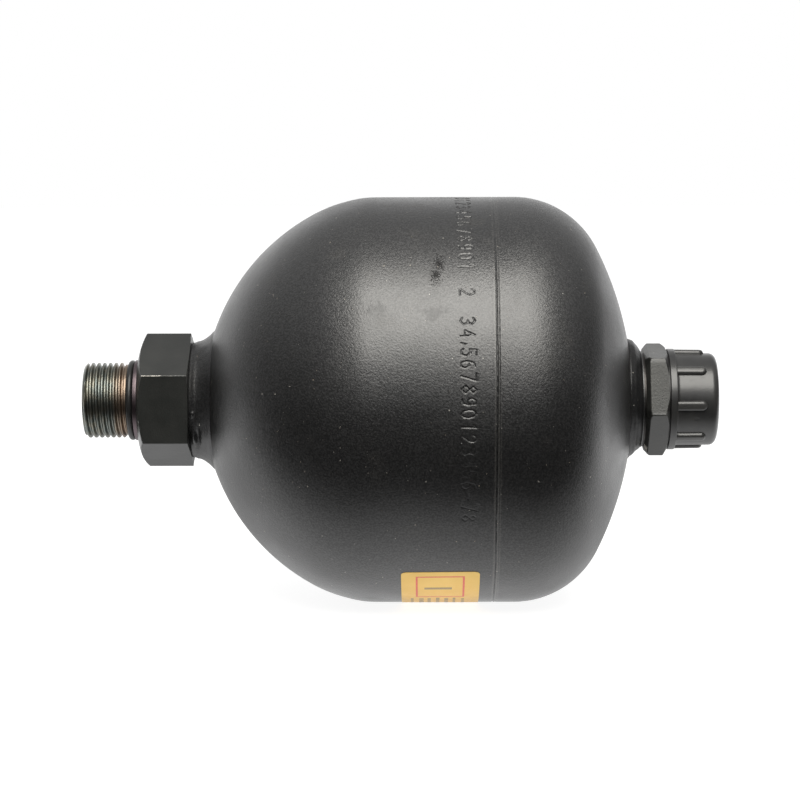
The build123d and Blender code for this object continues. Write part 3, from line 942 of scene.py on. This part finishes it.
# stations of a hexagon with turned chamfers, from its front face to its back face; a chamfer
# starts at radius flat, rises by reach over depth, and is bowed when bow isn't 1
def hexStations(x0, x1, outline, front, back, steps=16):
    def limit(chamfer, t):
        return chamfer["flat"] + chamfer["reach"] * (max(t, 0.0) / chamfer["depth"]) ** chamfer["bow"]

    def length(chamfer):
        rise = (outline.max() - chamfer["flat"]) / chamfer["reach"]
        return chamfer["depth"] * rise ** (1 / chamfer["bow"]) + 0.25 * mm

    xs = np.concatenate([
        np.linspace(0, 1, steps) ** 1.6 * length(front) + x0,
        x1 - np.linspace(1, 0, steps) ** 1.6 * length(back),
    ])
    out = []
    for x in xs:
        r = softMin(outline, limit(front, x - x0), 0.12 * mm)
        out.append((x, softMin(r, limit(back, x1 - x), 0.12 * mm)))
    return out


# right-hand thread with flat crests and roots, seen as a radius
def threadRadius(x, angles, major, depth, pitch):
    t = (x / pitch - angles / (2 * pi)) % 1
    up = np.abs(t - 0.5) * 2
    return major - depth * (1 - smooth((up - 0.16) / 0.68))


def makePortStud():
    s = stud
    angles = angleSteps(240, spreadRound(s["turn"], 6), 0.035, 15)
    outline, off = hexRadius(angles, s["flats"], s["turn"], s["corner"])
    stations = []
    for x in np.arange(0, s["threadEnd"], 0.1 * mm):
        r = threadRadius(x, angles, s["thread"], s["threadDepth"], s["pitch"])
        r = softMin(r, s["thread"] - s["chamfer"] + x, 0.15 * mm)
        fall = smooth((x - s["threadEnd"] + 1.9 * mm) / mm)
        stations.append((x, softMin(r, s["thread"] - s["runOut"] * fall + 0.02 * mm, 0.1 * mm)))
    groove = [
        (s["threadEnd"], s["thread"] - s["runOut"], 0.15 * mm),
        (s["threadEnd"], s["grooveFloor"], 0.2 * mm),
        (s["grooveEnd"], s["grooveFloor"], 0.2 * mm),
        (s["grooveEnd"], s["collar"], 0.2 * mm),
        (s["hexStart"] - 0.02 * mm, s["collar"], 0),
    ]
    stations += roundedProfile([(s["threadEnd"] - mm, s["thread"] - s["runOut"], 0)] + groove, 4)[1:]
    stations.append((s["hexStart"], s["collar"] + 0.05 * mm))
    firstGrip = len(stations)
    stations += hexStations(s["hexStart"], hexEnd, outline, s["front"], s["back"])
    lastGrip = len(stations)
    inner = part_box("fluid_port_stud")[1].x
    stations += [(hexEnd, fluidWeld["neck"]), (inner, fluidWeld["neck"]), (inner, s["passage"])]
    stations += [(s["boreDepth"], s["passage"]), (s["boreDepth"], s["bore"])]
    stations += [(0.3 * mm, s["bore"]), (0, s["bore"] + 0.3 * mm)]
    piece = turnedMesh("portStud", stations, angles, 40)
    # wear along the corners of the hexagon, strongest on one, and round its front edge
    count = len(angles)
    wear = np.zeros((len(stations), count))
    near = np.exp(-((off * s["flats"] / 2 / s["wearWidth"]) ** 2))
    chosen = np.abs(turnFrom(angles, s["turn"] - 60))
    near = near * np.where(chosen < 0.5, s["strongWear"], s["wear"])
    for k in range(firstGrip, lastGrip):
        x, r = stations[k]
        onFlat = np.where(r > outline - 0.15 * mm, 1.0, 0.0)
        fade = 1 - 0.45 * smooth((x - s["hexStart"] - 9 * mm) / (7 * mm))
        onEdge = np.max(r) < s["front"]["flat"] + 1.5 * mm
        wear[k] = s["edgeWear"] if onEdge else near * onFlat * fade
    setAttribute(piece, "wear", wear)
    setAttribute(piece, "rough", np.zeros(wear.shape))
    dress(piece, studBlack, "vessel", "stud_steel", "fluid_port_stud")
    ringOf = np.arange(len(piece.data.polygons)) // count
    addMaterial(piece, threadSteel, (ringOf < firstGrip - 1) | (ringOf >= len(stations) - 4))
    return piece


makePortStud()
cover("fluid_port_o_ring", sealRubber)
print("fluid port built")

# gas valve

valve = dict(
    flats=36.0 * mm,
    turn=10.2,
    front=dict(flat=18.3 * mm, reach=1.0 * mm, depth=0.78 * mm, bow=1.0),
    back=dict(flat=18.6 * mm, reach=1.0 * mm, depth=0.6 * mm, bow=1.0),
    bevel=1.45 * mm,
    bevelDepth=1.3 * mm,
    corner=0.5 * mm,
    thread=14.0 * mm,
    threadDepth=0.9 * mm,
    pitch=1.5 * mm,
    relief=12.9 * mm,
    shank=11.0 * mm,
    headHole=6.66 * mm,
    headDepth=8.0 * mm,
    recess=5.8 * mm,
    recessDepth=1.8 * mm,
    screwHole=4.02 * mm,
    screwDepth=10.0 * mm,
    passage=1.5 * mm,
    wearWidth=0.5 * mm,
    wear=0.45,
    bareSpots=((-58, 9), (63, 7)),   # on the chamfer towards the vessel: turn and reach in degrees
    bareWear=0.85,
)


def makeValveBody():
    v = valve
    low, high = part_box("gas_valve_body")
    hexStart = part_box("gas_valve_seal")[1].x
    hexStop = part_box("cap_gasket")[0].x
    angles = angleSteps(200, spreadRound(v["turn"], 6), 0.045, 13)
    outline, off = hexRadius(angles, v["flats"], v["turn"], v["corner"])
    half = v["flats"] / 2
    stations = [(low.x, v["passage"]), (low.x, v["shank"] - 0.4 * mm), (low.x + 0.4 * mm, v["shank"])]
    stations += [(hexStart, v["shank"]), (hexStart, half - v["bevelDepth"] - 0.3 * mm)]
    first = len(stations)
    for x, r in hexStations(hexStart, hexStop, outline, v["front"], v["back"], 12):
        cut = max(0.0, 1 - (x - hexStart) / v["bevel"])
        stations.append((x, np.minimum(r, outline * (1 - v["bevelDepth"] / half * cut))))
    last = len(stations)
    stations += [(hexStop, v["relief"]), (hexStop + 1.5 * mm, v["relief"])]
    for x in np.arange(hexStop + 1.6 * mm, high.x, 0.12 * mm):
        r = threadRadius(x, angles, v["thread"], v["threadDepth"], v["pitch"])
        r = softMin(r, v["relief"] + 0.2 * mm + (x - hexStop - 1.6 * mm), 0.1 * mm)
        stations.append((x, softMin(r, v["relief"] + high.x - x, 0.1 * mm)))
    seat = high.x - v["headDepth"]
    floor, end = seat - v["recessDepth"], seat - v["screwDepth"]
    stations += [(high.x, v["relief"]), (high.x, v["headHole"] + 0.3 * mm)]
    stations += [(high.x - 0.3 * mm, v["headHole"]), (seat, v["headHole"]), (seat, v["recess"])]
    stations += [(floor, v["recess"]), (floor, v["screwHole"]), (end, v["screwHole"]), (end, v["passage"])]
    piece = turnedMesh("valveBody", stations, angles, 40)
    count = len(angles)
    wear = np.zeros((len(stations), count))
    rough = np.zeros((len(stations), count))
    near = np.exp(-((off * half / v["wearWidth"]) ** 2)) * v["wear"]
    # the flat that faces forward is rough from the bar, the others are smooth; the bevel towards the vessel
    # is marked rough too, as painted shade
    facing = np.abs(turnFrom(angles, v["turn"] - 30))
    roughHere = 1 - smooth((facing - 0.44) / 0.06)
    for k in range(first, last):
        wear[k] = near
        # painted shade: the bevel throws back less light
        inBevel = stations[k][0] < hexStart + 0.9 * v["bevel"]
        rough[k] = 1.0 if inBevel else roughHere
    for turn, reach in v["bareSpots"]:
        bare = v["bareWear"] * np.exp(-((np.degrees(turnFrom(angles, turn)) / reach) ** 2))
        wear[first : first + 8] = np.maximum(near, bare)
    setAttribute(piece, "wear", wear)
    setAttribute(piece, "rough", rough)
    dress(piece, valveBlack, "vessel", "valve_steel", "gas_valve_body")
    ringOf = np.arange(len(piece.data.polygons)) // count
    addMaterial(piece, valveThread, (ringOf < first - 2) | (ringOf >= last))
    return piece


makeValveBody()
cover("gas_valve_seal", sealMetal)
cover("gas_port_boss", bodyPaint)
for node in ("charging_screw", "bladder_clamp_ring", "bladder_button"):
    cover(node, plainSteel)
for node in ("charging_screw_seal", "cap_gasket"):
    cover(node, sealRubber)
cover("bladder", bladderRubber)
print("gas valve built")

# protective cap

cap = dict(
    flange=18.1 * mm,
    flangeLength=2.5 * mm,
    wall=16.62 * mm,
    taper=0.2 * mm,
    edge=2.5 * mm,
    bore=14.08 * mm,
    endWall=3.2 * mm,
    ribs=8,
    ribTurn=2.4,
    ribWidth=3.5 * mm,
    ribHeight=1.3 * mm,
    ribLength=10.4 * mm,
    # end face, slightly dished, with the low round mark of the moulding gate: radius and depth in mm
    dish=((12.0, 0.0), (11.6, 0.12), (11.2, 0.14), (1.9, 0.14), (1.7, 0.14), (1.5, 0.08), (1.3, 0.07),
          (0.05, 0.07)),
)


def makeCap():
    c = cap
    low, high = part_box("protective_cap")
    flangeEnd = low.x + c["flangeLength"]
    ribEnd = flangeEnd + c["ribLength"]
    spots = spreadRound(c["ribTurn"], c["ribs"])
    angles = angleSteps(160, spots, 0.135, 31)
    away = np.min([np.abs((angles - s + pi) % (2 * pi) - pi) for s in spots], axis=0)
    arc = away * c["wall"]

    # height of a rib with rounded end and softened sides
    def ribLift(x):
        half = c["ribWidth"] / 2
        endX = ribEnd - half
        distance = np.where(x > endX, np.hypot(np.maximum(x - endX, 0), arc), arc) - half
        return c["ribHeight"] * np.sqrt(np.clip(1 - (1 + np.minimum(distance, 0) / half) ** 3.2, 0, 1))

    def wallAt(x):
        return c["wall"] - c["taper"] * (x - flangeEnd) / (high.x - flangeEnd)

    flange = [
        (low.x, c["bore"] + 0.8 * mm, 0),
        (low.x, c["flange"], 0.3 * mm),
        (flangeEnd, c["flange"], 0.35 * mm),
        (flangeEnd, c["wall"] + 0.5 * mm, 0),
    ]
    stations = roundedProfile(flange, 5)
    stations[-1] = (flangeEnd, wallAt(flangeEnd) + np.maximum(0.02 * mm, ribLift(flangeEnd) - 0.05 * mm))
    straight = np.linspace(flangeEnd + 0.02 * mm, ribEnd - 2.4 * mm, 8)
    for x in np.concatenate([straight, np.linspace(ribEnd - 2.2 * mm, ribEnd + 0.4 * mm, 22)]):
        stations.append((x, wallAt(x) + ribLift(x)))
    edgeX = high.x - c["edge"]
    stations.append((0.5 * (ribEnd + edgeX) + 0.2 * mm, wallAt(edgeX)))
    for t in np.linspace(0, pi / 2, 12):
        stations.append((edgeX + c["edge"] * sin(t), wallAt(edgeX) - c["edge"] * (1 - cos(t))))
    for r, sink in c["dish"]:
        stations.append((high.x - sink * mm, r * mm))
    innerEnd = high.x - c["endWall"]
    stations += [(innerEnd, 0.05 * mm), (innerEnd, c["bore"] - 0.3 * mm)]
    stations += [(innerEnd - 0.3 * mm, c["bore"]), (low.x + 0.6 * mm, c["bore"])]
    piece = turnedMesh("capShell", stations, angles, 50)
    co = vertexArray(piece)
    radius = np.hypot(co[:, 1], co[:, 2])
    onRib = smooth((radius - c["wall"] - 0.7 * mm) / (0.5 * mm)) * (co[:, 0] > flangeEnd)
    setAttribute(piece, "wear", onRib * 0.5)
    return dress(piece, capPlastic, "cap", "cap_plastic", "protective_cap")


makeCap()
print("cap built")

# label

label = dict(
    start=48.4,          # upper edge, degrees below -Y
    tilt=0.016,
    arc=60.0 * mm,
    corner=1.7 * mm,
    thickness=0.13 * mm,
    middle=(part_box("label")[0].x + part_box("label")[1].x) / 2,
    frame=(5.0 * mm, 21.9 * mm, 2.8 * mm, 22.1 * mm),   # left, right, top and bottom
    line=0.7 * mm,
    bar=(3.0 * mm, 12.5 * mm, 0.9 * mm),                # left and right from the frame, half height
    columns=7,                                          # of short bars under the frame
    columnStart=3.2 * mm,
    columnPitch=2.95 * mm,
    barGap=0.9 * mm,
    ink=0.015 * mm,
)


# a point on the cylinder: arc runs down from the upper edge of the label
def wrapped(x, arc, lift):
    arc = arc - label["tilt"] * (x - label["middle"])
    angle = below(label["start"]) + arc / vessel["radius"]
    r = vessel["radius"] + lift
    return (x, r * cos(angle), r * sin(angle))


# verts and faces of a thin sheet: outline gives (x0, x1, arc) rows
def slab(outline, low, high):
    columns = 9
    verts, faces = [], []
    for lift in (high, low):
        for x0, x1, arc in outline:
            for t in np.linspace(0, 1, columns):
                verts.append(wrapped(x0 + (x1 - x0) * t, arc, lift))
    rows = len(outline)
    under = rows * columns
    for i in range(rows - 1):
        for j in range(columns - 1):
            a = i * columns + j
            faces.append((a, a + columns, a + columns + 1, a + 1))
            faces.append((under + a, under + a + 1, under + a + columns + 1, under + a + columns))
    rim = list(range(columns))
    rim += [i * columns + columns - 1 for i in range(1, rows)]
    rim += [(rows - 1) * columns + j for j in range(columns - 2, -1, -1)]
    rim += [i * columns for i in range(rows - 2, 0, -1)]
    for a, b in zip(rim, rim[1:] + rim[:1]):
        faces.append((a, b, under + b, under + a))
    return verts, faces


def makeLabel():
    low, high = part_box("label")
    c = label["corner"]
    corner = np.linspace(0, c, 9)
    arcs = np.concatenate([corner, np.linspace(c, label["arc"] - c, 44)[1:-1], label["arc"] - corner[::-1]])
    rows = []
    for arc in arcs:
        near = min(arc, label["arc"] - arc)
        inset = c - sqrt(max(c * c - (c - near) ** 2, 0)) if near < c else 0.0
        rows.append((low.x + inset, high.x - inset, arc))
    verts, faces = slab(rows, 0.0, label["thickness"])
    piece = meshObject("labelSheet", verts, faces, 50)
    return dress(piece, labelFilm, "vessel", "label_film", "label")


def stripRows(x0, x1, arc0, arc1):
    steps = max(2, int((arc1 - arc0) / (1.2 * mm)) + 2)
    return [(x0, x1, arc) for arc in np.linspace(arc0, arc1, steps)]


# plain red frame with a grey bar, and rows of short bars where small print would be
def makeLabelPrint():
    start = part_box("label")[0].x
    left, right, top, bottom = label["frame"]
    x0, x1, line = start + left, start + right, label["line"]
    frameBars = [
        (x0, x1, top, top + line),
        (x0, x1, bottom - line, bottom),
        (x0, x0 + line, top + line, bottom - line),
        (x1 - line, x1, top + line, bottom - line),
    ]
    middle = (top + bottom) / 2
    barLeft, barRight, half = label["bar"]
    bars = [(x0 + barLeft, x0 + barRight, middle - half, middle + half)]
    uneven = np.random.default_rng(11)
    for column in range(label["columns"]):
        x = start + label["columnStart"] + column * label["columnPitch"]
        wide = uneven.uniform(0.8, 2.3) * mm
        arc = uneven.uniform(23.6, 25.2) * mm
        while arc < label["arc"] - 6 * mm:
            length = uneven.uniform(1.4, 4.6) * mm
            bars.append((x, x + wide, arc, min(arc + length, label["arc"] - 4 * mm)))
            arc += length + label["barGap"]
    verts, faces, index = [], [], []
    for n, bar in enumerate(frameBars + bars):
        v, f = slab(stripRows(*bar), label["thickness"] - 0.01 * mm, label["thickness"] + label["ink"])
        faces += [tuple(k + len(verts) for k in face) for face in f]
        verts += v
        index += [n >= len(frameBars)] * len(f)
    piece = meshObject("labelPrint", verts, faces, 50)
    dress(piece, redInk, "vessel", "label_film")
    addMaterial(piece, greyInk, index)
    return piece


makeLabel()
makeLabelPrint()
print("label built")

# stage, light and camera

studio = dict(
    cameraX=121.8 * mm,
    aimX=112.8 * mm,
    distance=850 * mm,
    elevation=6.0,
    aimZ=-0.16 * mm,
    roll=0.18,
    lens=106.4,
    tableEdge=(-0.134, -0.038),   # y where the pale table begins and is fully pale
    tableCurve=-0.26,             # its edge runs further back to either side
    tableGlow=(0.02, 1.2),
    tableShade=0.55,              # behind the object
    tableSides=1.3,
    tableDiffuseGlow=0.36,
    roomPale=(0.07, 1.42),        # in front and behind
    roomTop=0.37,
    skyGlow=(0.06, 0.55),
    # lamps: height in degrees, aside, width, length, power and tone; the dim one softens an edge
    softbox=(54, 0.07, 0.80, 0.84, 13.6, (1.0, 0.975, 0.915)),
    sheet=(20, 0.04, 0.80, 0.34, 0.55, (1, 1, 1)),
    lampReach=1.0,
)


def makeFloor():
    s = studio
    size = 6.0
    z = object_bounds()[0][2] - 0.02 * mm
    verts = [(-size, -size, z), (size, -size, z), (size, size, z), (-size, size, z)]
    floor = meshObject("floor", verts, [(0, 1, 2, 3)])
    material, tree, shader, coords = newMaterial("paleFloor")
    path = tree.nodes.new("ShaderNodeLightPath")
    y = axisPart(tree, coords, "Y")
    # a white table, with the dark of the room in front of it; the camera sees it plain white. For other
    # rays it glows though it is no lamp: in reflections, with painted shade behind the object, and as light
    # from below for diffuse rays
    tone = mixValue(tree, path.outputs["Is Camera Ray"], ramp(tree, y, -0.14, -0.03, 0.15, 0.95), 0.35)
    tone = mixValue(tree, path.outputs["Is Glossy Ray"], tone, 0.0)
    grey = tree.nodes.new("ShaderNodeCombineColor")
    for channel in ("Red", "Green", "Blue"):
        plug(tree, tone, grey.inputs[channel])
    plug(tree, grey.outputs["Color"], shader.inputs["Base Color"])
    shader.inputs["Roughness"].default_value = 0.9
    shader.inputs["Specular IOR Level"].default_value = 0.0
    shader.inputs["Emission Color"].default_value = (1, 1, 1, 1)
    fromAim = mathNode(tree, "SUBTRACT", axisPart(tree, coords, "X"), s["aimX"])
    aside = mathNode(tree, "ABSOLUTE", fromAim)
    curved = mathNode(tree, "MULTIPLY_ADD", aside, s["tableCurve"], y)
    table = ramp(tree, curved, *s["tableEdge"], *s["tableGlow"])
    shade = ramp(tree, y, 0.0, 0.06, 1.0, s["tableShade"])
    bright = mixValue(tree, ramp(tree, aside, 0.08, 0.26), shade, s["tableSides"])
    bright = mathNode(tree, "MULTIPLY", table, bright)
    glow = mathNode(tree, "MULTIPLY", path.outputs["Is Glossy Ray"], bright)
    # the table's glow lights the object from below
    soft = mathNode(tree, "MULTIPLY", table, s["tableDiffuseGlow"])
    under = mathNode(tree, "MULTIPLY", path.outputs["Is Diffuse Ray"], soft)
    seen = mathNode(tree, "MULTIPLY", path.outputs["Is Camera Ray"], 0.9)
    strength = mathNode(tree, "ADD", seen, mathNode(tree, "ADD", glow, under))
    plug(tree, strength, shader.inputs["Emission Strength"])
    floor.data.materials.append(material)


def makeWorld():
    world = bpy.data.worlds.new("studioWorld")
    bpy.context.scene.world = world
    world.use_nodes = True
    tree = world.node_tree
    tree.nodes.clear()
    out = tree.nodes.new("ShaderNodeOutputWorld")
    back = tree.nodes.new("ShaderNodeBackground")
    direction = tree.nodes.new("ShaderNodeTexCoord").outputs["Generated"]
    y = axisPart(tree, direction, "Y")
    z = axisPart(tree, direction, "Z")
    # the room is pale behind the table, and a little more so towards the fluid port
    across = mathNode(tree, "MULTIPLY_ADD", axisPart(tree, direction, "X"), -0.18, y)
    behind = ramp(tree, across, 0.22, 1.08, *studio["roomPale"])
    behind = mathNode(tree, "MULTIPLY", behind, ramp(tree, z, 0.1, 0.95, 1.0, studio["roomTop"]))
    glow = ramp(tree, z, 0.05, 0.8, *studio["skyGlow"])
    level = mathNode(tree, "MAXIMUM", behind, glow)
    path = tree.nodes.new("ShaderNodeLightPath")
    level = mixValue(tree, path.outputs["Is Camera Ray"], level, 1.0)
    plug(tree, level, back.inputs["Strength"])
    back.inputs["Color"].default_value = (1, 1, 1, 1)
    plug(tree, back.outputs[0], out.inputs["Surface"])


def makeLamp(name, aim, height, aside, width, length, power, tone):
    lamp = bpy.data.lights.new(name, "AREA")
    lamp.shape = "RECTANGLE"
    lamp.size = width
    lamp.size_y = length
    lamp.energy = power
    lamp.color = tone
    holder = bpy.data.objects.new(name, lamp)
    bpy.context.scene.collection.objects.link(holder)
    lift = radians(height)
    reach = studio["lampReach"]
    holder.location = (aim.x + aside, -reach * cos(lift), reach * sin(lift))
    holder.rotation_euler = (aim - holder.location).to_track_quat("-Z", "Y").to_euler()


def makeLamps():
    aim = Vector((studio["aimX"] + 18 * mm, 0, 0))
    for name in ("softbox", "sheet"):
        makeLamp(name, aim, *studio[name])


def makeCamera():
    s = studio
    rise = radians(s["elevation"])
    camera = bpy.data.cameras.new("camera")
    camera.lens = s["lens"]
    camera.sensor_width = 36.0
    camera.clip_start = 0.01
    camera.clip_end = 50.0
    holder = bpy.data.objects.new("camera", camera)
    bpy.context.scene.collection.objects.link(holder)
    place = Vector((s["cameraX"], -s["distance"] * cos(rise), s["distance"] * sin(rise)))
    holder.location = place
    aim = Vector((s["aimX"], 0, s["aimZ"]))
    turn = (aim - place).to_track_quat("-Z", "Y").to_matrix() @ Matrix.Rotation(radians(-s["roll"]), 3, "Z")
    holder.rotation_euler = turn.to_euler()
    bpy.context.scene.camera = holder


makeFloor()
makeWorld()
makeLamps()
makeCamera()
bpy.context.scene.view_settings.view_transform = "Standard"
print("stage built")
